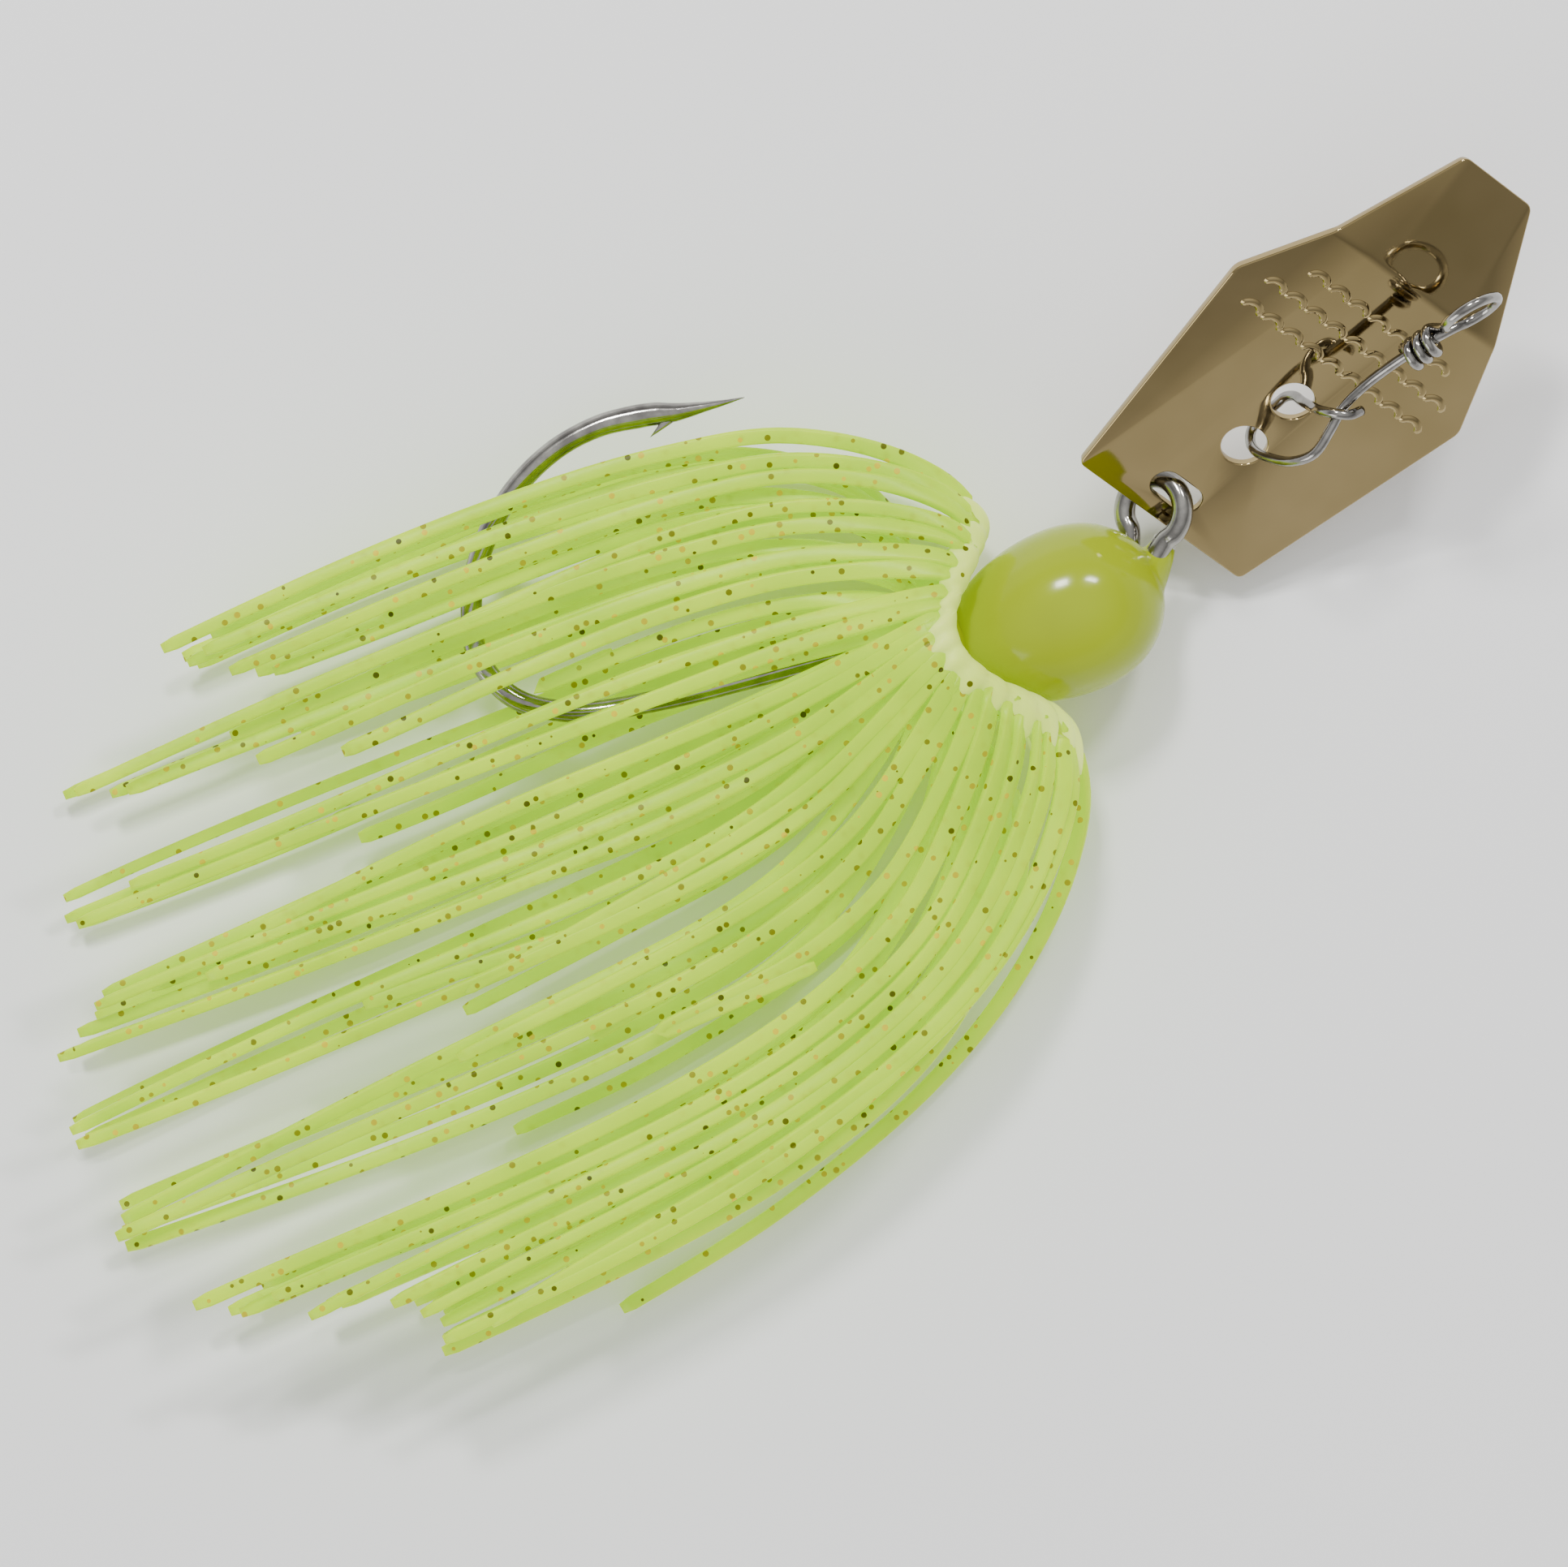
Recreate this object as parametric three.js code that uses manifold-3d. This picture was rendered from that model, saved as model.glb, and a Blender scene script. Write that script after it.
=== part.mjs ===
// A bladed jig lying on its side: a lead head cast on a hook, a bent blade on the hook's eye,
// a wire snap on the blade and a silicone skirt behind the head.
// Millimetres. +X runs from the skirt to the blade, +Y towards the hook's point, +Z up off the table.
import * as THREE from 'three';
import { mergeVertices } from 'three/addons/utils/BufferGeometryUtils.js';
import Module from 'manifold-3d';

const wasm = await Module();
wasm.setup();

// ---- driving dimensions ----------------------------------------------------------------------

const GAP = 0.3; // what two touching pieces keep between them

const HEAD_RADIUS = 5.85; // the head lies on the table, so this is also the hook plane's height
const PLANE_Z = HEAD_RADIUS;
const HEAD_Y = -0.3; // the lead hangs a little below the shank
// [x, radius] from the head's rear to its nose
const HEAD_PROFILE = [[-7.3, 3.3], [-6.6, 3.8], [-4.6, 4.8], [-2.4, 5.5], [0, HEAD_RADIUS], [2.2, 5.75],
  [4.2, 5.1], [5.8, 3.9], [6.8, 2.5], [7.2, 1.2]];
const HEAD_TIP_X = 7.3;
const NECK_Y = 0.8;
const NECK_RADIUS = 2.9; // the lead neck that the skirt's collar sits on
const NECK_END_X = -11.6;
const NECK_RIM_RADIUS = 3.3;
const NECK_RIM_LENGTH = 0.7;
const STUB = [[6.2, -0.2], [7.4, 0.3], [8.7, 1.2]]; // the painted stub that the eye's wire leaves
const STUB_RADIUS = 1.5;
const STUB_STEPS = 4;
const STUB_SIDES = 12;
const HEAD_SIDES = 36;
const TURNED_SIDES = 32;

const WIRE = 1.5; // hook wire diameter
const WIRE_STEPS = 120;
const WIRE_SIDES = 10;
const BORE_SIDES = 8;
// The wire's centre line in the hook plane, from behind the point round the bend and up the shank
const HOOK_ROUTE = [[-21.5, 23.6], [-24.2, 24.1], [-27.6, 23.8], [-31.2, 22.4], [-34.4, 20], [-36.8, 16.9],
  [-38.1, 12.8], [-37, 9.2], [-33.5, 6.6], [-28, 5.1], [-17, 3.35], [-6, 1.6], [0, 0.9], [4, 0.4],
  [6.2, 0.1]];
const HOOK_POINT = [[-14.2, 22], [-21.9, 24.4], [-23.2, 24.6], [-23.2, 23.2], [-21, 22.85], [-19.9, 23.1],
  [-21.3, 22], [-19.5, 22.2]];
const POINT_THICK = 1.2;
const EYE_CENTRE = [8.75, 3.8];
const EYE_RADIUS = 2.3;
const EYE_NECK = THREE.MathUtils.degToRad(64); // the way from the stub to the eye, in the hook plane
const EYE_TWIST = THREE.MathUtils.degToRad(-32); // the eye is turned this far out of the hook plane
const EYE_START = THREE.MathUtils.degToRad(-88);
const EYE_END = THREE.MathUtils.degToRad(190);
const EYE_STEPS = 14;
const EYE_TAIL = [6.3, 2.2, PLANE_Z - 1]; // the eye's cut end, inside the lead

const COLLAR_FRONT_X = -7.7;
const COLLAR_STEP_X = -9.2;
const COLLAR_REAR_X = -10.5;
const COLLAR_OUTER = 4.9; // its front step, where the outer strands leave it
const COLLAR_INNER = 3.75; // its rear step, for the inner strands

const BLADE_THICK = 0.7;
const BLADE_HEAD_HALF = 7.7; // half-width at the edge by the head
const BLADE_WIDE_HALF = 10.75;
const BLADE_WIDE_AT = 18.6;
const BLADE_BEND_AT = 25.1;
const BLADE_BEND_HALF = 7.6;
const BLADE_NOSE_HALF = 3.15;
const BLADE_NOSE_LENGTH = 9.2;
const CREASE_SIDES = 24;
const HOLE_SEGMENTS = 9;
const BLADE_BEND = THREE.MathUtils.degToRad(21);
const BLADE_YAW = THREE.MathUtils.degToRad(19.2);
const BLADE_PITCH = THREE.MathUtils.degToRad(24.8);
const BLADE_ROLL = THREE.MathUtils.degToRad(29.6);
const BLADE_EDGE_MID = [8.9, 3.1, PLANE_Z - 0.6]; // middle of the blade's edge by the head
const HOLE_NEAR = { at: 8.4, radius: 1.6 };
const HOLE_FAR = { at: 13.2, radius: 1.5 };
const SLOT = { at: 2.55, side: 0.85, length: 4.1, width: 2.2 }; // where the hook's eye passes through

const SNAP_WIRE = 0.72;
const SNAP_STEPS = 230;
const SNAP_SIDES = 7;
const SNAP_RING_STEPS = 16;
const SNAP_WRAP_STEPS = 12;
const SNAP_LEAN = THREE.MathUtils.degToRad(16);
const SNAP_BEHIND = 0.95; // the snap's hidden stretch lies this far behind the blade's middle
// [along the blade, sideways, out from the blade] from the latch's tip, down the far hole, behind
// the blade, up the near hole and over to the neck
const SNAP_LATCH = [[17.1, -0.9, 5], [16.6, 0, 5.4], [16, 0.75, 5.1], [15.2, 0.9, 4.2], [14.4, 0.4, 2.8],
  [13.7, 0.1, 1.5], [13.3, 0, 0.6]];
const SNAP_ARM = [[12.6, 0, 0.05], [11.6, 0, 0], [10.2, 0, 0], [9.2, 0, 0.25], [8.75, 0, 1.1], [8.9, 0, 2.1],
  [9.8, 0, 3.6], [11.2, 0, 5.1], [13, 0, 5.9], [14.9, 0, 5.2], [16.4, 0, 4.45], [18.3, 0, 4.3],
  [20.5, 0, 4.5], [22.8, 0, 4.9]];
const SNAP_NECK = [25.2, 0, 5.5];
const SNAP_EYE = [28.1, 0, 5.9];
const SNAP_EYE_RADIUS = 2;
const SNAP_EYE_OPEN = THREE.MathUtils.degToRad(24);
const SNAP_TWIST = THREE.MathUtils.degToRad(28);
const SNAP_WRAPS = 3;
const SNAP_WRAP_RADIUS = 0.82;
const SNAP_WRAP_PITCH = 0.84;
const SNAP_WRAP_GAP = 0.35;
const SNAP_WRAP_START = THREE.MathUtils.degToRad(-90);

// The skirt: each lock is a bunch of strands, with where its first and last strand end.
const LOCKS = [
  { count: 4, x: [-57.7, -57], y: [22, 19.5] },
  { count: 3, x: [-54.2, -50.7], y: [18.6, 17.2] },
  { count: 4, x: [-67.8, -64.3], y: [15.6, 12.8] },
  { count: 2, x: [-52.3, -49.6], y: [12.2, 10.8] },
  { count: 4, x: [-71.2, -69.8], y: [8.4, 5.4] },
  { count: 1, x: [-50.4, -50.4], y: [4.4, 4.4] },
  { count: 7, x: [-71, -74.5], y: [2.2, -3.2] },
  { count: 4, x: [-76, -77], y: [-4.8, -8.2] },
  { count: 1, x: [-49.3, -49.3], y: [-9, -9] },
  { count: 5, x: [-75.9, -75.6], y: [-11.4, -16.6] },
  { count: 1, x: [-48.7, -48.7], y: [-18, -18] },
  { count: 4, x: [-73.7, -70], y: [-20.6, -23.4] },
  { count: 3, x: [-66, -63.4], y: [-24.2, -25.4] },
  { count: 8, x: [-59.4, -58.2], y: [-26.2, -31] },
  { count: 1, x: [-46.1, -46.1], y: [-32.7, -32.7] },
];
const END_UNEVENNESS = 0.7; // the ends of neighbours in a lock differ by up to this much
const STRAND_RADIUS = 0.48; // half the diagonal of a strand's square section
const STRAND_STEPS = 15;
const STRAND_SIDES = 4;
const ROOT_GAP = 0.6; // a strand's slanting root stands this far off the collar
const ROOT_MARGIN = THREE.MathUtils.degToRad(5);
// How a strand goes from its root to its end, station by station: its share of the way across,
// and its share of the way down from the arch round the collar to the height where it rests.
const SPREAD_MIDDLE = [0, 0.02, 0.1, 0.37, 0.7, 0.88, 0.98, 1];
const SPREAD_HOOK_SIDE = [0, 0.11, 0.27, 0.54, 0.79, 0.91, 0.98, 1];
const SPREAD_FAR_SIDE = [0, 0.11, 0.27, 0.46, 0.65, 0.79, 0.91, 1];
const SETTLE = [0, 0.05, 0.2, 0.5, 0.8, 0.95, 1, 1];
const OUTER_PATH = {
  reach: [COLLAR_OUTER + ROOT_GAP, 7.4, 8.6, 8.6, 8, 7, 6, 6],
  xMiddle: [-8.4, -8.4, -9.8, -14, -20, -27, -38, 0],
  xSide: [-8.4, -3, -3.2, -6.6, -13, -21, -33, 0],
};
const INNER_PATH = {
  reach: [COLLAR_INNER + ROOT_GAP, 5.6, 6.4, 6.6, 6.4, 6, 5, 5],
  xMiddle: [-9.9, -10.5, -12, -16, -22, -28, -38, 0],
  xSide: [-9.9, -8.6, -7.8, -9.6, -15, -21, -32, 0],
};
const LAYERS = [
  { side: 1, restZ: 10.3, lowestZ: 0.6, ...OUTER_PATH },
  { side: -1, restZ: 3, lowestZ: 1.7, ...INNER_PATH },
  { side: 1, restZ: 8.95, lowestZ: 0.6, ...INNER_PATH },
  { side: -1, restZ: 1.6, lowestZ: 0.6, ...OUTER_PATH },
];

const group = new THREE.Group();

// ---- helpers ---------------------------------------------------------------------------------

function v3(x, y, z) {
  return new THREE.Vector3(x, y, z);
}

// Join shared corners, so that a geometry is one closed mesh.
function welded(geometry) {
  const bare = geometry.clone();
  bare.deleteAttribute('normal');
  bare.deleteAttribute('uv');
  return mergeVertices(bare, 1e-4);
}

function toManifold(geometry) {
  const closed = welded(geometry);
  const vertProperties = new Float32Array(closed.attributes.position.array);
  const triVerts = new Uint32Array(closed.index.array);
  return new wasm.Manifold(new wasm.Mesh({ numProp: 3, vertProperties, triVerts }));
}

function fromManifold(solid) {
  const mesh = solid.getMesh();
  const geometry = new THREE.BufferGeometry();
  geometry.setAttribute('position', new THREE.BufferAttribute(new Float32Array(mesh.vertProperties), 3));
  geometry.setIndex(new THREE.BufferAttribute(new Uint32Array(mesh.triVerts), 1));
  return geometry;
}

function addPiece(name, geometry, material) {
  const mesh = new THREE.Mesh(geometry, material);
  mesh.name = name;
  group.add(mesh);
  return mesh;
}

function roundSection(radius, sides) {
  const shape = new THREE.Shape();
  for (let i = 0; i < sides; i += 1) {
    const angle = (2 * Math.PI * (i + 0.5)) / sides;
    const x = radius * Math.cos(angle);
    const y = radius * Math.sin(angle);
    if (i === 0) shape.moveTo(x, y);
    else shape.lineTo(x, y);
  }
  shape.closePath();
  return shape;
}

function sweep(shape, path, steps) {
  return new THREE.ExtrudeGeometry(shape, { steps, extrudePath: path, bevelEnabled: false });
}

function wireAlong(path, diameter, steps, sides) {
  return sweep(roundSection(diameter / 2, sides), path, steps);
}

// A profile of [x, radius] points turned about the X axis.
function turnedAboutX(profile, sides) {
  const points = profile.map(([x, radius]) => new THREE.Vector2(radius, x));
  const geometry = new THREE.LatheGeometry(points, sides);
  return geometry.rotateZ(-Math.PI / 2);
}

// ---- materials -------------------------------------------------------------------------------

const headPaint = new THREE.MeshStandardMaterial({ color: 0xd4f500, roughness: 0.25, metalness: 0 });
const nickel = new THREE.MeshStandardMaterial({ color: 0xb8b4ae, roughness: 0.2, metalness: 1 });
const bronze = new THREE.MeshStandardMaterial({ color: 0x8f7c55, roughness: 0.12, metalness: 1 });
const silicone = new THREE.MeshStandardMaterial({ color: 0xc4ee5a, roughness: 0.45, metalness: 0 });

// ---- hook ------------------------------------------------------------------------------------

function hookCurve() {
  const points = HOOK_ROUTE.map(([x, y]) => v3(x, y, PLANE_Z));
  const neck = v3(Math.cos(EYE_NECK), Math.sin(EYE_NECK), 0);
  for (let i = 0; i <= EYE_STEPS; i += 1) {
    const angle = EYE_START + ((EYE_END - EYE_START) * i) / EYE_STEPS;
    const spoke = v3(EYE_RADIUS * Math.cos(angle), EYE_RADIUS * Math.sin(angle), 0);
    points.push(spoke.applyAxisAngle(neck, EYE_TWIST).add(v3(...EYE_CENTRE, PLANE_Z)));
  }
  points.push(v3(...EYE_TAIL));
  return new THREE.CatmullRomCurve3(points, false, 'centripetal');
}

function polygonShape(corners) {
  return new THREE.Shape(corners.map(([x, y]) => new THREE.Vector2(x, y)));
}

// The forged point: a flat outline with the barb cut from its lower edge.
function hookPointGeometry() {
  const shape = polygonShape(HOOK_POINT);
  const plate = new THREE.ExtrudeGeometry(shape, { depth: POINT_THICK, bevelEnabled: false });
  return plate.translate(0, 0, PLANE_Z - POINT_THICK / 2);
}

const hookWire = hookCurve();
const hookRod = toManifold(wireAlong(hookWire, WIRE, WIRE_STEPS, WIRE_SIDES));
const hookSolid = hookRod.add(toManifold(hookPointGeometry()));
addPiece('hook', fromManifold(hookSolid), nickel);

// ---- head ------------------------------------------------------------------------------------

// The lead body, its neck for the skirt and the stub by the eye, bored clear of the hook's wire.
function headGeometry() {
  const rimInside = NECK_END_X + NECK_RIM_LENGTH;
  const neckProfile = [[NECK_END_X, 0], [NECK_END_X, NECK_RIM_RADIUS], [rimInside, NECK_RIM_RADIUS],
    [rimInside, NECK_RADIUS], [0, NECK_RADIUS], [0, 0]];
  const bodyProfile = [[HEAD_PROFILE[0][0], 0], ...HEAD_PROFILE, [HEAD_TIP_X, 0]];
  const neck = toManifold(turnedAboutX(neckProfile, TURNED_SIDES).translate(0, NECK_Y, PLANE_Z));
  const body = toManifold(turnedAboutX(bodyProfile, HEAD_SIDES).translate(0, HEAD_Y, PLANE_Z));
  const stubEnds = STUB.map(([x, y]) => v3(x, y, PLANE_Z));
  const stubPath = new THREE.CatmullRomCurve3(stubEnds);
  const stub = toManifold(wireAlong(stubPath, 2 * STUB_RADIUS, STUB_STEPS, STUB_SIDES));
  const bore = toManifold(wireAlong(hookWire, WIRE + 2 * GAP, WIRE_STEPS, BORE_SIDES));
  return fromManifold(body.add(neck).add(stub).subtract(bore));
}

addPiece('jig_head', headGeometry(), headPaint);

// ---- blade -----------------------------------------------------------------------------------

const bladeFrame = new THREE.Group();
bladeFrame.position.set(...BLADE_EDGE_MID);
bladeFrame.rotation.set(BLADE_ROLL, -BLADE_PITCH, BLADE_YAW, 'ZYX');
group.add(bladeFrame);

function plate(shape) {
  const options = { depth: BLADE_THICK, bevelEnabled: false, curveSegments: HOLE_SEGMENTS };
  return new THREE.ExtrudeGeometry(shape, options).translate(0, 0, -BLADE_THICK / 2);
}

function bladeGeometry() {
  const main = polygonShape([[0, -BLADE_HEAD_HALF], [BLADE_WIDE_AT, -BLADE_WIDE_HALF],
    [BLADE_BEND_AT, -BLADE_BEND_HALF], [BLADE_BEND_AT, BLADE_BEND_HALF],
    [BLADE_WIDE_AT, BLADE_WIDE_HALF], [0, BLADE_HEAD_HALF]]);
  for (const hole of [HOLE_NEAR, HOLE_FAR]) {
    const ring = new THREE.Path();
    ring.absarc(hole.at, 0, hole.radius, 0, 2 * Math.PI, true);
    main.holes.push(ring);
  }
  const slot = new THREE.Path();
  const slotRadius = SLOT.width / 2;
  const slotHalf = SLOT.length / 2 - slotRadius;
  slot.absarc(SLOT.at, SLOT.side + slotHalf, slotRadius, Math.PI, 0, true);
  slot.absarc(SLOT.at, SLOT.side - slotHalf, slotRadius, 0, -Math.PI, true);
  slot.closePath();
  main.holes.push(slot);
  const nose = polygonShape([[0, -BLADE_BEND_HALF], [BLADE_NOSE_LENGTH, -BLADE_NOSE_HALF],
    [BLADE_NOSE_LENGTH, BLADE_NOSE_HALF], [0, BLADE_BEND_HALF]]);
  const nosePlate = plate(nose).rotateY(BLADE_BEND).translate(BLADE_BEND_AT, 0, 0);
  const creaseLength = 2 * BLADE_BEND_HALF - GAP;
  const crease = new THREE.CylinderGeometry(BLADE_THICK / 2, BLADE_THICK / 2, creaseLength, CREASE_SIDES);
  crease.translate(BLADE_BEND_AT, 0, 0);
  const solid = toManifold(plate(main)).add(toManifold(nosePlate)).add(toManifold(crease));
  return fromManifold(solid);
}

const blade = new THREE.Mesh(bladeGeometry(), bronze);
blade.name = 'blade';
bladeFrame.add(blade);

// ---- line snap -------------------------------------------------------------------------------

// The snap turns on the stretch of wire behind the blade, so its frame lies on that stretch.
const snapFrame = new THREE.Group();
snapFrame.position.set(0, 0, -SNAP_BEHIND);
snapFrame.rotation.set(SNAP_LEAN, 0, 0);
bladeFrame.add(snapFrame);

function snapCurve() {
  const points = [...SNAP_LATCH, ...SNAP_ARM].map((point) => v3(...point));
  const neck = v3(...SNAP_NECK);
  const along = v3(...SNAP_EYE).sub(neck).normalize();
  const side = v3(0, Math.cos(SNAP_TWIST), Math.sin(SNAP_TWIST));
  const across = side.clone().addScaledVector(along, -side.dot(along)).normalize();
  const normal = along.clone().cross(across);
  points.push(neck);
  for (let i = 0; i <= SNAP_RING_STEPS; i += 1) {
    const angle = Math.PI + SNAP_EYE_OPEN + ((2 * Math.PI - 2 * SNAP_EYE_OPEN) * i) / SNAP_RING_STEPS;
    const point = v3(...SNAP_EYE).addScaledVector(along, SNAP_EYE_RADIUS * Math.cos(angle));
    points.push(point.addScaledVector(across, SNAP_EYE_RADIUS * Math.sin(angle)));
  }
  for (let i = 0; i <= SNAP_WRAPS * SNAP_WRAP_STEPS; i += 1) {
    const turn = i / SNAP_WRAP_STEPS;
    const angle = SNAP_WRAP_START + 2 * Math.PI * turn;
    const back = SNAP_WRAP_GAP + SNAP_WRAP_PITCH * turn;
    const point = neck.clone().addScaledVector(along, -back);
    point.addScaledVector(across, SNAP_WRAP_RADIUS * Math.cos(angle));
    points.push(point.addScaledVector(normal, SNAP_WRAP_RADIUS * Math.sin(angle)));
  }
  return new THREE.CatmullRomCurve3(points, false, 'centripetal');
}

const snap = new THREE.Mesh(wireAlong(snapCurve(), SNAP_WIRE, SNAP_STEPS, SNAP_SIDES), nickel);
snap.name = 'line_snap';
snapFrame.add(snap);

// ---- skirt -----------------------------------------------------------------------------------

function collarGeometry() {
  const bore = NECK_RADIUS + GAP;
  const profile = [[COLLAR_REAR_X, bore], [COLLAR_REAR_X, COLLAR_INNER], [COLLAR_STEP_X, COLLAR_INNER],
    [COLLAR_STEP_X, COLLAR_OUTER], [COLLAR_FRONT_X, COLLAR_OUTER], [COLLAR_FRONT_X, bore],
    [COLLAR_REAR_X, bore]];
  return turnedAboutX(profile, TURNED_SIDES).translate(0, NECK_Y, PLANE_Z);
}

addPiece('skirt_collar', collarGeometry(), silicone);

function mix(from, to, share) {
  return from + (to - from) * share;
}

// Where each strand's end lies across the skirt, lock by lock from the hook's side to the other.
function strandEnds() {
  const ends = [];
  for (const lock of LOCKS) {
    for (let i = 0; i < lock.count; i += 1) {
      const place = lock.count === 1 ? 0.5 : i / (lock.count - 1);
      const uneven = END_UNEVENNESS * Math.sin(7 * ends.length);
      ends.push({ x: mix(lock.x[0], lock.x[1], place) + uneven, y: mix(lock.y[0], lock.y[1], place) });
    }
  }
  return ends;
}

function strandCurve(end, rank, layer) {
  const angle = layer.side * mix(ROOT_MARGIN, Math.PI - ROOT_MARGIN, rank);
  const sideways = Math.abs(Math.cos(angle)) ** 2;
  const spreadSide = Math.cos(angle) > 0 ? SPREAD_HOOK_SIDE : SPREAD_FAR_SIDE;
  const rootY = NECK_Y + layer.reach[0] * Math.cos(angle);
  const points = [];
  for (let k = 0; k < SETTLE.length; k += 1) {
    const isEnd = k === SETTLE.length - 1;
    const x = isEnd ? end.x : mix(layer.xMiddle[k], layer.xSide[k], sideways);
    const y = mix(rootY, end.y, mix(SPREAD_MIDDLE[k], spreadSide[k], sideways));
    const arched = PLANE_Z + layer.reach[k] * Math.sin(angle);
    const z = Math.max(mix(arched, layer.restZ, SETTLE[k]), layer.lowestZ);
    points.push(v3(x, y, z));
  }
  return new THREE.CatmullRomCurve3(points, false, 'centripetal');
}

const ends = strandEnds();
ends.forEach((end, index) => {
  const layer = LAYERS[index % LAYERS.length];
  const curve = strandCurve(end, index / (ends.length - 1), layer);
  const name = `skirt_strand_${String(index + 1).padStart(2, '0')}`;
  addPiece(name, sweep(roundSection(STRAND_RADIUS, STRAND_SIDES), curve, STRAND_STEPS), silicone);
});

// The origin goes to the middle of the whole lure's footprint, on the surface that it lies on.
const box = new THREE.Box3().setFromObject(group, true);
const middle = box.getCenter(new THREE.Vector3());
group.position.set(-middle.x, -middle.y, -box.min.z);

export default group;
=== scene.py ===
"""A bladed jig lying on its side on a pale table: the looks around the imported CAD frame."""

import math
import random

import bmesh
import bpy
from mathutils import Matrix, Vector


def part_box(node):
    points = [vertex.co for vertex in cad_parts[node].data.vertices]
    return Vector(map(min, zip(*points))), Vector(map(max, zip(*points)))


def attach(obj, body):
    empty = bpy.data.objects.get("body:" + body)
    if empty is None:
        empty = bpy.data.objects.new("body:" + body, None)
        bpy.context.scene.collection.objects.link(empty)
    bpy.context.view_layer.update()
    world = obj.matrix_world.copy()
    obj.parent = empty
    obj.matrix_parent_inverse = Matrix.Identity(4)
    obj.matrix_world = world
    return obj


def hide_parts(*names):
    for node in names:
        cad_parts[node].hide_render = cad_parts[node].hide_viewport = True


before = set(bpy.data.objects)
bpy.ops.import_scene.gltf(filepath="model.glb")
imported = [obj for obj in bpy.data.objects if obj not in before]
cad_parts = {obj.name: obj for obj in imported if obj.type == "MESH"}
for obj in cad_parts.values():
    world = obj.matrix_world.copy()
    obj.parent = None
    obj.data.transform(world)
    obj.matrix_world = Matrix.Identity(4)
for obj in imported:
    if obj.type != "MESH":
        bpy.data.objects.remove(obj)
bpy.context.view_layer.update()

MM = 0.001
UP = Vector((0, 0, 1))
NEARLY_ZERO = 1e-9

# ---- the design's own places, in millimetres from its origin in the head -----------------------

PLANE_Z = 5.85  # height of the hook's plane, the head's radius
HEAD_Y = -0.3
NECK_Y = 0.8
COLLAR_REAR_X = -10.5

collar_low, collar_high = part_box("skirt_collar")
SHIFT = Vector((
    collar_low.x / MM - COLLAR_REAR_X,
    (collar_low.y + collar_high.y) / 2 / MM - NECK_Y,
    0,
))


def place(x, y, z):
    """A point of the design, in the frame's metres."""
    return (Vector((x, y, z)) + SHIFT) * MM


# ---- curves ------------------------------------------------------------------------------------

def mix(a, b, share):
    """The value this share of the way from a to b."""
    return a + (b - a) * share


def catmull(points, samples):
    """Centripetal Catmull-Rom through the points, with this many samples a span."""
    ends = [points[0] * 2 - points[1]] + list(points) + [points[-1] * 2 - points[-2]]
    out = []
    for i in range(len(points) - 1):
        a, b, c, d = ends[i:i + 4]
        step_a = max((a - b).length ** 0.5, NEARLY_ZERO)
        step_b = max((b - c).length ** 0.5, NEARLY_ZERO)
        step_c = max((c - d).length ** 0.5, NEARLY_ZERO)
        slope_b = (b - a) / step_a - (c - a) / (step_a + step_b) + (c - b) / step_b
        slope_c = (c - b) / step_b - (d - b) / (step_b + step_c) + (d - c) / step_c
        slope_b = slope_b * step_b
        slope_c = slope_c * step_b
        for k in range(samples):
            t = k / samples
            t2 = t * t
            t3 = t2 * t
            out.append(b * (2 * t3 - 3 * t2 + 1) + slope_b * (t3 - 2 * t2 + t)
                       + c * (3 * t2 - 2 * t3) + slope_c * (t3 - t2))
    out.append(points[-1].copy())
    return out


def resample(points, count):
    """The same path as count + 1 points, evenly spaced along it."""
    lengths = [0.0]
    for a, b in zip(points, points[1:]):
        lengths.append(lengths[-1] + (b - a).length)
    total = lengths[-1]
    out = []
    k = 0
    for i in range(count + 1):
        want = total * i / count
        while k < len(points) - 2 and lengths[k + 1] < want:
            k += 1
        span = max(lengths[k + 1] - lengths[k], NEARLY_ZERO)
        out.append(points[k].lerp(points[k + 1], min(1, (want - lengths[k]) / span)))
    return out


def tangents(path):
    """The direction of the path at each of its points."""
    out = []
    for i in range(len(path)):
        out.append((path[min(i + 1, len(path) - 1)] - path[max(i - 1, 0)]).normalized())
    return out


def carried(path, start):
    """Side directions carried along a path with no twist."""
    sides = []
    side = start
    for tangent in tangents(path):
        side = (side - tangent * side.dot(tangent)).normalized()
        sides.append(side)
    return sides


def circle(radius_x, radius_y, sides):
    """The points of an ellipse with these half-sizes."""
    angles = [2 * math.pi * k / sides for k in range(sides)]
    return [(radius_x * math.cos(angle), radius_y * math.sin(angle)) for angle in angles]


# ---- skins -------------------------------------------------------------------------------------

def add_object(name, bm, material, smooth=True):
    """Turns the bmesh into an object of the scene."""
    bmesh.ops.recalc_face_normals(bm, faces=bm.faces)
    for face in bm.faces:
        face.smooth = smooth
    mesh = bpy.data.meshes.new(name)
    bm.to_mesh(mesh)
    bm.free()
    mesh.materials.append(material)
    obj = bpy.data.objects.new(name, mesh)
    bpy.context.scene.collection.objects.link(obj)
    return obj


def join_rings(bm, pairs):
    """Faces between the two rings of vertices of each pair."""
    for a, b in pairs:
        for i in range(len(a)):
            j = (i + 1) % len(a)
            bm.faces.new((a[i], a[j], b[j], b[i]))


def loft(bm, rings):
    """Joins closed rings of points into a skin, with a flat face at each end."""
    made = [[bm.verts.new(point) for point in ring] for ring in rings]
    join_rings(bm, zip(made, made[1:]))
    bm.faces.new(made[0])
    bm.faces.new(made[-1])


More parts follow.
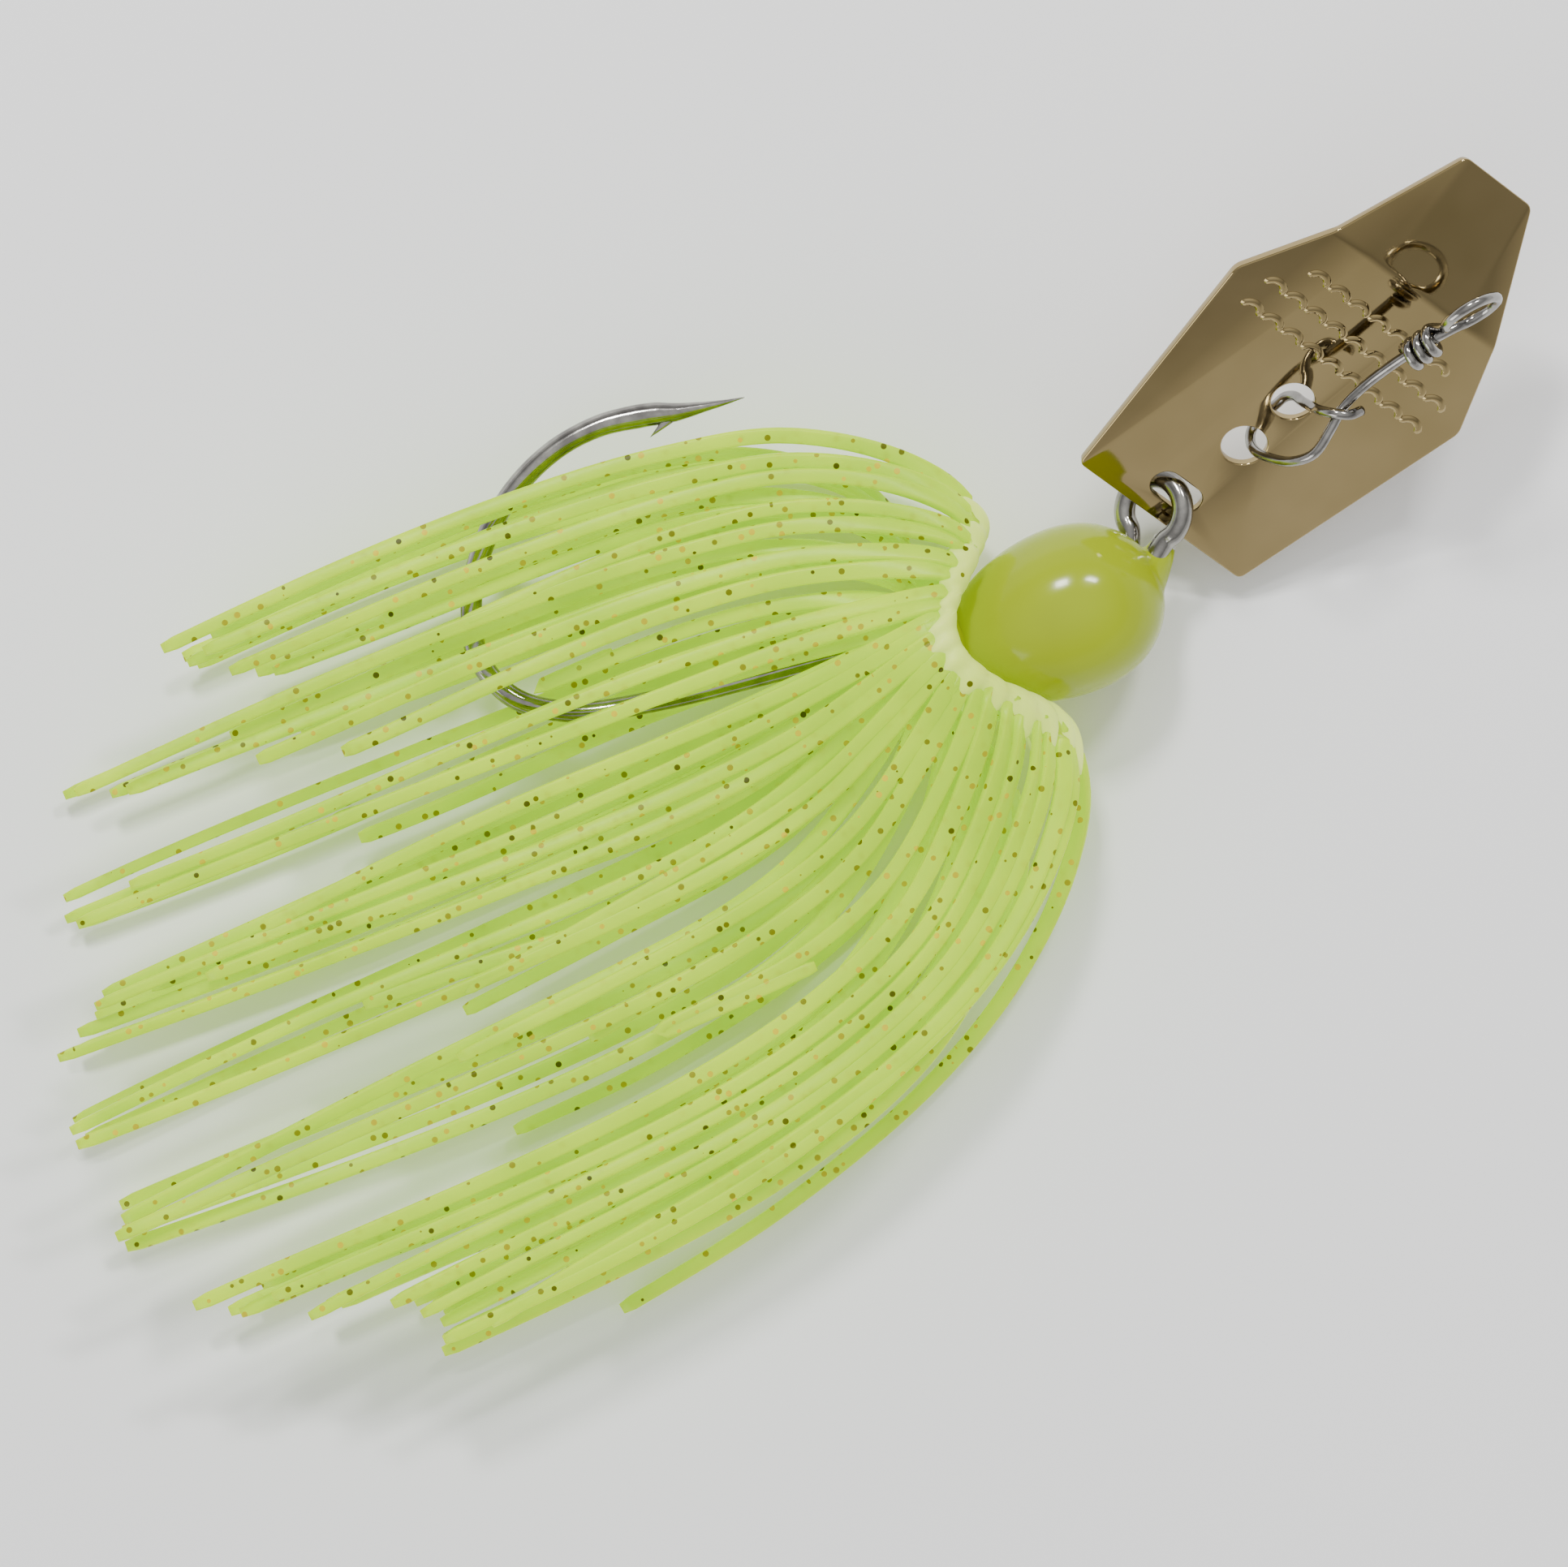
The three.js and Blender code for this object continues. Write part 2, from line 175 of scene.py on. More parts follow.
def closed_loft(bm, rings):
    """Joins closed rings of points into a skin whose last ring meets its first."""
    made = [[bm.verts.new(point) for point in ring] for ring in rings]
    join_rings(bm, zip(made, made[1:] + made[:1]))


def sweep_rings(path, section, across):
    """Rings of a section carried along a path. across(i, tangent) gives the section's x direction."""
    rings = []
    for i, (point, tangent) in enumerate(zip(path, tangents(path))):
        side = across(i, tangent)
        side = (side - tangent * side.dot(tangent)).normalized()
        normal = tangent.cross(side)
        rings.append([point + side * x + normal * y for x, y in section(i)])
    return rings


def sweep(bm, path, start, section):
    """Sweeps a section along a path with no twist, its x direction first near start."""
    sides = carried(path, start)
    loft(bm, sweep_rings(path, section, lambda i, tangent: sides[i]))


def ring_about_x(x, radius, sides, centre_y):
    """A ring about an axis along X, at the height of the hook's plane."""
    return [place(x, centre_y + across, PLANE_Z + up) for across, up in circle(radius, radius, sides)]


def turned(bm, profile, sides, centre_y):
    """A profile of (x, radius) in millimetres turned about an axis along X."""
    loft(bm, [ring_about_x(x, radius, sides, centre_y) for x, radius in profile])


# ---- materials ---------------------------------------------------------------------------------

# The darker and the lighter tone of each material's mottling, in linear light
HEAD_TONES = ((0.23, 0.29, 0.0), (0.26, 0.33, 0.0))
PRIMER_TONES = ((0.62, 0.62, 0.58), (0.8, 0.8, 0.76))
HOOK_TONES = ((0.20, 0.19, 0.18), (0.36, 0.35, 0.32))
SNAP_TONES = ((0.20, 0.19, 0.18), (0.36, 0.35, 0.33))
BLADE_TONES = ((0.31, 0.235, 0.105), (0.39, 0.30, 0.145))
STRAND_TONES = ((0.44, 0.66, 0.0), (0.54, 0.75, 0.0))
COLLAR_TONES = ((0.66, 0.82, 0.12), (0.82, 0.94, 0.26))
TABLE_TONES = ((0.93, 0.93, 0.93), (0.96, 0.96, 0.96))
FLAKE_STOPS = [(0.0, (0.05, 0.06, 0.0)), (0.25, (0.18, 0.20, 0.0)),
               (0.6, (0.32, 0.30, 0.0)), (1.0, (0.62, 0.50, 0.0))]

# Strength of the painted glow: light that the head and the silicone give out though they are no lamps,
# lifting their shade
HEAD_PAINTED_GLOW = 0.4
SILICONE_PAINTED_GLOW = 0.36
SOFT_SPREAD = 0.2  # half the part of the noise over which one tone turns into the other
SHARP_SPREAD = 0.15
FLAKE_SCALE = 1150
FLAKE_SCATTER = 0.9
FLAKE_RADIUS = 0.25  # in cells of the flakes' texture
WIRE_ROUGHNESS_RANGE = (0.7, 1.4)  # times the wire's own roughness
BLADE_ROUGHNESS_RANGE = (0.03, 0.09)


def new_material(name):
    """A new node material, with what is needed to build on it."""
    material = bpy.data.materials.new(name)
    material.use_nodes = True
    nodes = material.node_tree.nodes
    return material, nodes, material.node_tree.links, nodes["Principled BSDF"]


def ramp(nodes, links, source, stops):
    """A colour ramp driven by the source."""
    node = nodes.new("ShaderNodeValToRGB")
    elements = node.color_ramp.elements
    while len(elements) < len(stops):
        elements.new(0.5)
    for element, (position, colour) in zip(elements, stops):
        element.position = position
        element.color = (*colour, 1)
    links.new(source, node.inputs["Fac"])
    return node.outputs["Color"]


def object_noise(nodes, links, scale, detail):
    """Noise in the object's own coordinates, with its scale in cells a metre."""
    coords = nodes.new("ShaderNodeTexCoord")
    noise = nodes.new("ShaderNodeTexNoise")
    noise.inputs["Scale"].default_value = scale
    noise.inputs["Detail"].default_value = detail
    links.new(coords.outputs["Object"], noise.inputs["Vector"])
    return noise.outputs["Fac"]


def mottle(nodes, links, noise, tones, spread):
    """A mix of a darker and a lighter tone that follows the noise."""
    dark, light = tones
    return ramp(nodes, links, noise, [(0.5 - spread, dark), (0.5 + spread, light)])


def map_range(nodes, links, source, low, high, target):
    """Feeds the target a value between low and high that follows the source."""
    node = nodes.new("ShaderNodeMapRange")
    node.inputs["To Min"].default_value = low
    node.inputs["To Max"].default_value = high
    links.new(source, node.inputs["Value"])
    links.new(node.outputs["Result"], target)


def bump(nodes, links, height, strength, distance, shader):
    """A bump of the shader's surface."""
    node = nodes.new("ShaderNodeBump")
    node.inputs["Strength"].default_value = strength
    node.inputs["Distance"].default_value = distance
    links.new(height, node.inputs["Height"])
    links.new(node.outputs["Normal"], shader.inputs["Normal"])


def compare(nodes, links, source, limit):
    """1 where the source is below the limit, else 0."""
    node = nodes.new("ShaderNodeMath")
    node.operation = "LESS_THAN"
    node.inputs[1].default_value = limit
    links.new(source, node.inputs[0])
    return node.outputs["Value"]


def painted_glow(links, colour, strength, shader):
    """Painted glow: the surface gives out light of its own colour whatever falls on it. This lifts its
    shade and stands in for the brightness of the fluorescent pigment.
    """
    links.new(colour, shader.inputs["Emission Color"])
    shader.inputs["Emission Strength"].default_value = strength


def head_paint_material():
    material, nodes, links, shader = new_material("head_paint")
    noise = object_noise(nodes, links, scale=160, detail=1.5)
    colour = mottle(nodes, links, noise, HEAD_TONES, SOFT_SPREAD)
    links.new(colour, shader.inputs["Base Color"])
    # painted glow that lifts the head's shade
    painted_glow(links, colour, HEAD_PAINTED_GLOW, shader)
    shader.inputs["Roughness"].default_value = 0.16
    shader.inputs["Coat Weight"].default_value = 0.05
    shader.inputs["Coat Roughness"].default_value = 0.05
    shader.inputs["Specular IOR Level"].default_value = 0.3
    ripple = object_noise(nodes, links, scale=500, detail=1)
    bump(nodes, links, ripple, strength=0.05, distance=0.0002, shader=shader)
    return material


def wire_material(name, tones, roughness):
    material, nodes, links, shader = new_material(name)
    noise = object_noise(nodes, links, scale=700, detail=4)
    links.new(mottle(nodes, links, noise, tones, SHARP_SPREAD), shader.inputs["Base Color"])
    shader.inputs["Metallic"].default_value = 1.0
    low, high = WIRE_ROUGHNESS_RANGE
    map_range(nodes, links, noise, roughness * low, roughness * high, shader.inputs["Roughness"])
    scratches = object_noise(nodes, links, scale=2500, detail=3)
    bump(nodes, links, scratches, strength=0.06, distance=0.0001, shader=shader)
    return material


def blade_material():
    material, nodes, links, shader = new_material("blade_metal")
    noise = object_noise(nodes, links, scale=90, detail=3)
    links.new(mottle(nodes, links, noise, BLADE_TONES, SOFT_SPREAD), shader.inputs["Base Color"])
    shader.inputs["Metallic"].default_value = 1.0
    wear = object_noise(nodes, links, scale=1500, detail=4)
    map_range(nodes, links, wear, *BLADE_ROUGHNESS_RANGE, shader.inputs["Roughness"])
    waves = object_noise(nodes, links, scale=220, detail=2)
    bump(nodes, links, waves, strength=0.05, distance=0.0002, shader=shader)
    return material


def flakes(nodes, links, share):
    """A mask of small round flakes in this share of the texture's cells, and a value to pick each by."""
    coords = nodes.new("ShaderNodeTexCoord")
    cells = nodes.new("ShaderNodeTexVoronoi")
    cells.inputs["Scale"].default_value = FLAKE_SCALE
    cells.inputs["Randomness"].default_value = FLAKE_SCATTER
    links.new(coords.outputs["Object"], cells.inputs["Vector"])
    split = nodes.new("ShaderNodeSeparateColor")
    links.new(cells.outputs["Color"], split.inputs["Color"])
    both = nodes.new("ShaderNodeMath")
    both.operation = "MULTIPLY"
    links.new(compare(nodes, links, cells.outputs["Distance"], FLAKE_RADIUS), both.inputs[0])
    links.new(compare(nodes, links, split.outputs["Red"], share), both.inputs[1])
    return both.outputs["Value"], split.outputs["Green"]


def silicone_material(name, tones, transmission, flake_share):
    material, nodes, links, shader = new_material(name)
    noise = object_noise(nodes, links, scale=120, detail=2)
    mask, pick = flakes(nodes, links, flake_share)
    blend = nodes.new("ShaderNodeMix")
    blend.data_type = "RGBA"
    links.new(mask, blend.inputs["Factor"])
    links.new(mottle(nodes, links, noise, tones, SHARP_SPREAD), blend.inputs["A"])
    links.new(ramp(nodes, links, pick, FLAKE_STOPS), blend.inputs["B"])
    links.new(blend.outputs["Result"], shader.inputs["Base Color"])
    # painted glow that lifts the silicone's shade, between the strands too
    painted_glow(links, blend.outputs["Result"], SILICONE_PAINTED_GLOW, shader)
    map_range(nodes, links, mask, transmission, 0.0, shader.inputs["Transmission Weight"])
    shader.inputs["IOR"].default_value = 1.41
    shader.inputs["Specular IOR Level"].default_value = 0.25
    shader.inputs["Roughness"].default_value = 0.38
    shader.inputs["Subsurface Weight"].default_value = 0.55
    shader.inputs["Subsurface Radius"].default_value = (1.0, 1.0, 0.35)
    shader.inputs["Subsurface Scale"].default_value = 0.0012
    grain = object_noise(nodes, links, scale=900, detail=2)
    bump(nodes, links, grain, strength=0.12, distance=0.0002, shader=shader)
    return material


head_paint = head_paint_material()
primer = wire_material("primer", PRIMER_TONES, roughness=0.5)
hook_metal = wire_material("hook_nickel", HOOK_TONES, roughness=0.14)
snap_metal = wire_material("snap_steel", SNAP_TONES, roughness=0.13)
blade_metal = blade_material()
strand_silicone = silicone_material("strand_silicone", STRAND_TONES, transmission=0.3, flake_share=0.6)
collar_silicone = silicone_material("collar_silicone", COLLAR_TONES, transmission=0.15, flake_share=0.2)


# ---- hook --------------------------------------------------------------------------------------

WIRE_RADIUS = 0.75
WIRE_SIDES = 24
HOOK_SAMPLES = 10
EYE_CENTRE = Vector((8.75, 3.8, PLANE_Z))
EYE_RADIUS = 2.3
EYE_NECK = math.radians(64)
EYE_TWIST = math.radians(-32)
EYE_START = math.radians(-88)
EYE_END = math.radians(190)
EYE_STEPS = 14
EYE_TAIL = Vector((6.3, 2.2, PLANE_Z - 1))
# The point's middle line and half its depth, from the tip back to the round wire
HOOK_POINT = [((-14.2, 22.0), 0.03), ((-15.4, 22.18), 0.17), ((-17, 22.48), 0.36), ((-19, 22.92), 0.66),
              ((-20.2, 23.32), 0.8), ((-21.5, 23.66), 0.84)]
HOOK_ROUTE = [(-24.2, 24.1), (-27.6, 23.8), (-31.2, 22.4), (-34.4, 20), (-36.8, 16.9), (-38.1, 12.8),
              (-37, 9.2), (-33.5, 6.6), (-28, 5.1), (-17, 3.35), (-6, 1.6), (0, 0.9), (4, 0.4), (6.2, 0.1)]
POINT_THICK = 0.6  # half the thickness that the forged point starts with
FORGED_SPANS = 8  # how many spans it takes to become the wire's
DEPTH_EASE = 0.06  # how much its half depth loses a span behind the point
BARB = [(-19.3, 22.35), (-21.3, 21.98), (-19.7, 23.0)]
BARB_HALF = 0.34
BARB_LEVELS = ((-1, 0.7), (-0.6, 1.0), (0.6, 1.0), (1, 0.7))  # height in halves, and the outline's size
PRIMER_ROUTE = [(7.6, 0.6, -0.3), (8.2, 1.1, -0.45), (8.75, 1.6, -0.6)]
PRIMER_RADIUS = 0.84
PRIMER_SAMPLES = 6


def hook_half_sizes(span):
    """Half the wire's depth and half its thickness, this many spans behind the tip."""
    depths = [depth for _, depth in HOOK_POINT]
    last = len(depths) - 1
    if span < last:
        k = int(span)
        depth = mix(depths[k], depths[k + 1], span - k)
    else:
        depth = max(WIRE_RADIUS, depths[-1] - DEPTH_EASE * (span - last))
    return depth, min(depth, mix(POINT_THICK, WIRE_RADIUS, min(1, span / FORGED_SPANS)))


def hook_points():
    """The hook's middle line: the point, the bend, the shank and the eye."""
    points = [Vector((x, y, PLANE_Z)) for (x, y), _ in HOOK_POINT]
    points += [Vector((x, y, PLANE_Z)) for x, y in HOOK_ROUTE]
    neck = Vector((math.cos(EYE_NECK), math.sin(EYE_NECK), 0))
    turn = Matrix.Rotation(EYE_TWIST, 3, neck)
    for i in range(EYE_STEPS + 1):
        angle = mix(EYE_START, EYE_END, i / EYE_STEPS)
        spoke = Vector((EYE_RADIUS * math.cos(angle), EYE_RADIUS * math.sin(angle), 0))
        points.append(EYE_CENTRE + turn @ spoke)
    return points + [EYE_TAIL]


def build_hook():
    path = [place(*point) for point in catmull(hook_points(), HOOK_SAMPLES)]

    def section(i):
        depth, thick = hook_half_sizes(i / HOOK_SAMPLES)
        return circle(thick * MM, depth * MM, WIRE_SIDES)

    bm = bmesh.new()
    sweep(bm, path, UP, section)
    outline = [Vector(corner) for corner in BARB]
    middle = sum(outline, Vector((0, 0))) / len(outline)
    rings = []
    for height, size in BARB_LEVELS:
        z = PLANE_Z + BARB_HALF * height
        rings.append([place(*(middle + (corner - middle) * size), z) for corner in outline])
    loft(bm, rings)
    return add_object("hook_wire", bm, hook_metal)


def build_primer():
    """The rim of bare undercoat left on the wire where the paint stops."""
    path = catmull([place(x, y, PLANE_Z + z) for x, y, z in PRIMER_ROUTE], PRIMER_SAMPLES)
    ring = circle(PRIMER_RADIUS * MM, PRIMER_RADIUS * MM, WIRE_SIDES)
    bm = bmesh.new()
    sweep(bm, path, UP, lambda i: ring)
    return add_object("undercoat_rim", bm, primer)


undercoat = build_primer()
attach(undercoat, "jig")

hook = build_hook()
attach(hook, "jig")
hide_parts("hook")

# ---- head --------------------------------------------------------------------------------------

AXIS_RADIUS = 0.02  # a profile stops this far from its axis
HEAD_PROFILE = [(-7.8, AXIS_RADIUS), (-7.65, 1.5), (-7.1, 2.75), (-6.4, 3.5), (-4.6, 4.65), (-2.4, 5.45),
                (0, 5.83), (2.2, 5.73), (4.2, 5.1), (5.8, 3.9), (6.8, 2.5), (7.22, 1.2), (7.3, AXIS_RADIUS)]
HEAD_SAMPLES = 6
HEAD_SIDES = 96
HEAD_VOXEL = 0.00016
SOFTEN_FACTOR = 0.5
SOFTEN_STEPS = 14
STUB = [(4.6, -0.6, 0), (6.4, 0.0, -0.1), (7.6, 0.6, -0.3), (8.5, 1.35, -0.5)]
STUB_RADII = [2.5, 1.9, 1.25, 0.9]
STUB_SIDES = 24
NECK_RADIUS = 2.9
NECK_END_X = -11.6
NECK_FRONT_X = -6.8
FLANGE_RADIUS = 3.2
NECK_PROFILE = [(NECK_END_X, AXIS_RADIUS), (NECK_END_X, 2.6), (NECK_END_X + 0.25, FLANGE_RADIUS),
                (NECK_END_X + 0.6, FLANGE_RADIUS), (NECK_END_X + 1.0, NECK_RADIUS),
                (NECK_FRONT_X, NECK_RADIUS), (NECK_FRONT_X, AXIS_RADIUS)]
NECK_SIDES = 48


def apply_modifiers(obj):
    """Replaces the object's mesh with what its modifiers make of it."""
    bpy.context.view_layer.update()
    graph = bpy.context.evaluated_depsgraph_get()
    mesh = bpy.data.meshes.new_from_object(obj.evaluated_get(graph))
    obj.modifiers.clear()
    obj.data = mesh


def build_head():
    """The head and the stub beside the eye, fused into one skin."""
    bm = bmesh.new()
    curve = catmull([Vector((x, radius, 0)) for x, radius in HEAD_PROFILE], HEAD_SAMPLES)
    turned(bm, [(point.x, max(point.y, AXIS_RADIUS)) for point in curve], HEAD_SIDES, HEAD_Y)
    stub_path = catmull([place(x, y, PLANE_Z + z) for x, y, z in STUB], HEAD_SAMPLES)
    radii = catmull([Vector((radius, 0, 0)) for radius in STUB_RADII], HEAD_SAMPLES)
    sweep(bm, stub_path, UP, lambda i: circle(radii[i].x * MM, radii[i].x * MM, STUB_SIDES))
    head = add_object("painted_head", bm, head_paint)
    remesh = head.modifiers.new("fuse", "REMESH")
    remesh.mode = "VOXEL"
    remesh.voxel_size = HEAD_VOXEL
    remesh.use_smooth_shade = True
    soften = head.modifiers.new("soften", "SMOOTH")
    soften.factor = SOFTEN_FACTOR
    soften.iterations = SOFTEN_STEPS
    apply_modifiers(head)
    for polygon in head.data.polygons:
        polygon.use_smooth = True
    return head


def build_neck():
    """The flanged neck that keeps the skirt on."""
    bm = bmesh.new()
    turned(bm, NECK_PROFILE, NECK_SIDES, NECK_Y)
    return add_object("skirt_keeper", bm, head_paint)


head = build_head()
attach(head, "jig")
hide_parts("jig_head")

neck = build_neck()
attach(neck, "jig")

# ---- blade -------------------------------------------------------------------------------------

BLADE_THICK = 0.7
BLADE_EDGE = 0.12  # radius of its rounded edges
BLADE_HEAD_HALF = 7.7
BLADE_WIDE_HALF = 10.75
BLADE_WIDE_AT = 18.6
BLADE_NOSE_HALF = 3.15
BLADE_NOSE_LENGTH = 9.2
BLADE_CORNER = 0.5
BLADE_CORNER_STEPS = 5
BLADE_BEND_AT = 25.1
BLADE_BEND = math.radians(21)
BEND_RADIUS = 1.6
BEND_CUTS = 3  # cuts on each side of the crease, for the bend to follow
BEND_CUT_STEP = 0.12
CUT_MERGE = 0.0005
OUTLINE_MERGE = 0.004
SHARP_ANGLE = math.radians(35)
HOLE_NEAR = (8.4, 1.6)  # place along the blade, and radius
HOLE_FAR = (13.2, 1.5)
HOLE_SIDES = 40
SLOT_AT, SLOT_SIDE, SLOT_LENGTH, SLOT_WIDTH = 2.55, 0.85, 4.1, 2.2
RIDGE_ROWS = [(16.6, 8.1), (18.9, 7.6), (21.2, 6.6)]  # rows of stamped scales: place along, half-width
RIDGE_STEP = 1.9
RIDGE_ARC = 0.8
RIDGE_RADIUS = 0.2
RIDGE_FLATTER = 1.6  # how much wider than its height a ridge is
RIDGE_OPEN = math.radians(75)
RIDGE_POINTS = 12
RIDGE_SIDES = 10
RIDGE_SUNK = 0.35  # how deep a ridge lies in the blade, in its radii
RIDGE_END_SUNK = 0.9
BLADE_ORIGIN = Vector((8.9, 3.1, PLANE_Z - 0.6))
BLADE_TURN = math.radians(19.2)
BLADE_PITCH = math.radians(-24.8)
BLADE_ROLL = math.radians(29.6)
BLADE_FRAME = (
    Matrix.Translation(SHIFT + BLADE_ORIGIN)
    @ Matrix.Rotation(BLADE_TURN, 4, "Z")
    @ Matrix.Rotation(BLADE_PITCH, 4, "Y")
    @ Matrix.Rotation(BLADE_ROLL, 4, "X")
)


def blade_point(u, v, w):
    """A point given along the blade, across it and out of it, in the frame's metres."""
    return (BLADE_FRAME @ Vector((u, v, w))) * MM


def rounded_outline(corners, radius, steps):
    """The outline with each corner replaced by a small curve."""
    out = []
    count = len(corners)
    for i, corner in enumerate(corners):
        before = (corners[i - 1] - corner).normalized() * radius
        after = (corners[(i + 1) % count] - corner).normalized() * radius
        for k in range(steps + 1):
            t = k / steps
            out.append(corner + before * (1 - t) ** 2 + after * t ** 2)
    return out


def bent(u, w):
    """Bends the flat blade at its crease, over a short curve."""
    start = BLADE_BEND_AT - BEND_RADIUS * BLADE_BEND / 2
    past = u - start
    if past <= 0:
        return u, w
    angle = min(past / BEND_RADIUS, BLADE_BEND)
    straight = max(0.0, past - BEND_RADIUS * BLADE_BEND)
    u_mid = start + BEND_RADIUS * math.sin(angle) + straight * math.cos(angle)
    w_mid = -BEND_RADIUS * (1 - math.cos(angle)) - straight * math.sin(angle)
    return u_mid + w * math.sin(angle), w_mid + w * math.cos(angle)


def curve_loop(curve, points):
    """Adds a closed loop of points to a flat curve."""
    spline = curve.splines.new("POLY")
    spline.points.add(len(points) - 1)
    for curve_point, point in zip(spline.points, points):
        curve_point.co = (point.x, point.y, 0, 1)
    spline.use_cyclic_u = True


def blade_outline():
    """The blade's six corners, before it is bent."""
    end = BLADE_BEND_AT + BLADE_NOSE_LENGTH
    half = [Vector((0, BLADE_HEAD_HALF)), Vector((BLADE_WIDE_AT, BLADE_WIDE_HALF)),
            Vector((end, BLADE_NOSE_HALF))]
    corners = [Vector((point.x, -point.y)) for point in half] + list(reversed(half))
    return rounded_outline(corners, BLADE_CORNER, BLADE_CORNER_STEPS)


def slot_outline():
    """A circle pulled apart across the blade into a slot with round ends."""
    reach = SLOT_LENGTH / 2 - SLOT_WIDTH / 2
    out = []
    for x, y in circle(SLOT_WIDTH / 2, SLOT_WIDTH / 2, HOLE_SIDES):
        end_y = SLOT_SIDE + math.copysign(reach, y if abs(y) > NEARLY_ZERO else 1)
        out.append(Vector((SLOT_AT + x, end_y + y)))
    return out


def flat_blade():
    """The blade's plate with its openings and rounded edges, before it is bent, in millimetres."""
    curve = bpy.data.curves.new("blade_outline", "CURVE")
    curve.dimensions = "2D"
    curve.fill_mode = "BOTH"
    curve.extrude = BLADE_THICK / 2 - BLADE_EDGE
    curve.bevel_depth = BLADE_EDGE
    curve.bevel_resolution = 3
    curve.offset = -BLADE_EDGE
    curve_loop(curve, blade_outline())
    for at, radius in (HOLE_NEAR, HOLE_FAR):
        curve_loop(curve, [Vector((at + x, y)) for x, y in circle(radius, radius, HOLE_SIDES)])
    curve_loop(curve, slot_outline())
    outline = bpy.data.objects.new("blade_outline", curve)
    bpy.context.scene.collection.objects.link(outline)
    bpy.context.view_layer.update()
    mesh = bpy.data.meshes.new_from_object(outline.evaluated_get(bpy.context.evaluated_depsgraph_get()))
    bpy.data.objects.remove(outline)
    bm = bmesh.new()
    bm.from_mesh(mesh)
    bmesh.ops.remove_doubles(bm, verts=bm.verts, dist=OUTLINE_MERGE)
    return bm


def build_ridge(bm, along, across):
    """A small raised arc stamped up from the blade's face, like one scale of a fish."""
    points = []
    for k in range(RIDGE_POINTS + 1):
        angle = mix(-RIDGE_OPEN, RIDGE_OPEN, k / RIDGE_POINTS)
        sunk = RIDGE_RADIUS * (RIDGE_END_SUNK if k in (0, RIDGE_POINTS) else RIDGE_SUNK)
        points.append(blade_point(along + RIDGE_ARC * math.cos(angle), across + RIDGE_ARC * math.sin(angle),
                                  BLADE_THICK / 2 - sunk))
    ring = circle(RIDGE_RADIUS * MM, RIDGE_RADIUS * RIDGE_FLATTER * MM, RIDGE_SIDES)
    sweep(bm, points, BLADE_FRAME.to_3x3() @ UP, lambda i: ring)


def build_blade():
    bm = flat_blade()
    for k in range(-BEND_CUTS, BEND_CUTS + 1):
        bmesh.ops.bisect_plane(bm, geom=list(bm.verts) + list(bm.edges) + list(bm.faces),
                               plane_co=(BLADE_BEND_AT + k * BEND_CUT_STEP, 0, 0), plane_no=(1, 0, 0),
                               dist=CUT_MERGE)
    for vert in bm.verts:
        u, w = bent(vert.co.x, vert.co.z)
        vert.co = blade_point(u, vert.co.y, w)
    for along, half in RIDGE_ROWS:
        steps = int(2 * half / RIDGE_STEP)
        for k in range(steps + 1):
            build_ridge(bm, along, (k - steps / 2) * RIDGE_STEP)
    return add_object("blade_plate", bm, blade_metal, smooth=False)


def shade_by_angle(obj, limit):
    """Smooth shading with sharp edges where faces meet at more than this angle."""
    bm = bmesh.new()
    bm.from_mesh(obj.data)
    for face in bm.faces:
        face.smooth = True
    for edge in bm.edges:
        if len(edge.link_faces) == 2:
            edge.smooth = edge.calc_face_angle(0) < limit
    bm.to_mesh(obj.data)
    bm.free()


blade = build_blade()
shade_by_angle(blade, SHARP_ANGLE)
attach(blade, "blade")
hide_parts("blade")

# ---- line snap, in the blade's own frame -------------------------------------------------------

SNAP_RADIUS = 0.36
SNAP_SIDES = 14
SNAP_SAMPLES = 5
SNAP_DEPTH = -0.95  # the bar between the two holes lies behind the blade
SNAP_LEAN = math.radians(16)
SNAP_FRAME = (
    BLADE_FRAME @ Matrix.Translation((0, 0, SNAP_DEPTH)) @ Matrix.Rotation(SNAP_LEAN, 4, "X")
)
SNAP_LATCH = [(17.1, -0.9, 5.0), (16.6, 0, 5.4), (16, 0.75, 5.1), (15.2, 0.9, 4.2), (14.4, 0.4, 2.8),
              (13.7, 0.1, 1.5), (13.3, 0, 0.6)]
SNAP_ARM = [(12.6, 0, 0.05), (11.6, 0, 0), (10.2, 0, 0), (9.2, 0, 0.25), (8.75, 0, 1.1), (8.9, 0, 2.1),
            (9.8, 0, 3.6), (11.2, 0, 5.1), (13, 0, 5.9), (14.9, 0, 5.2), (16.4, 0, 4.45), (18.3, 0, 4.3),
            (20.5, 0, 4.5), (22.8, 0, 4.9)]
SNAP_NECK = Vector((25.2, 0, 5.5))
SNAP_EYE = Vector((28.1, 0, 5.9))
SNAP_EYE_RADIUS = 2.0
SNAP_EYE_OPEN = math.radians(24)
SNAP_EYE_STEPS = 16
SNAP_TWIST = math.radians(28)
WRAPS = 3
WRAP_STEPS = 12
WRAP_RADIUS = 0.82
WRAP_PITCH = 0.84
WRAP_GAP = 0.35
WRAP_START = math.radians(-90)


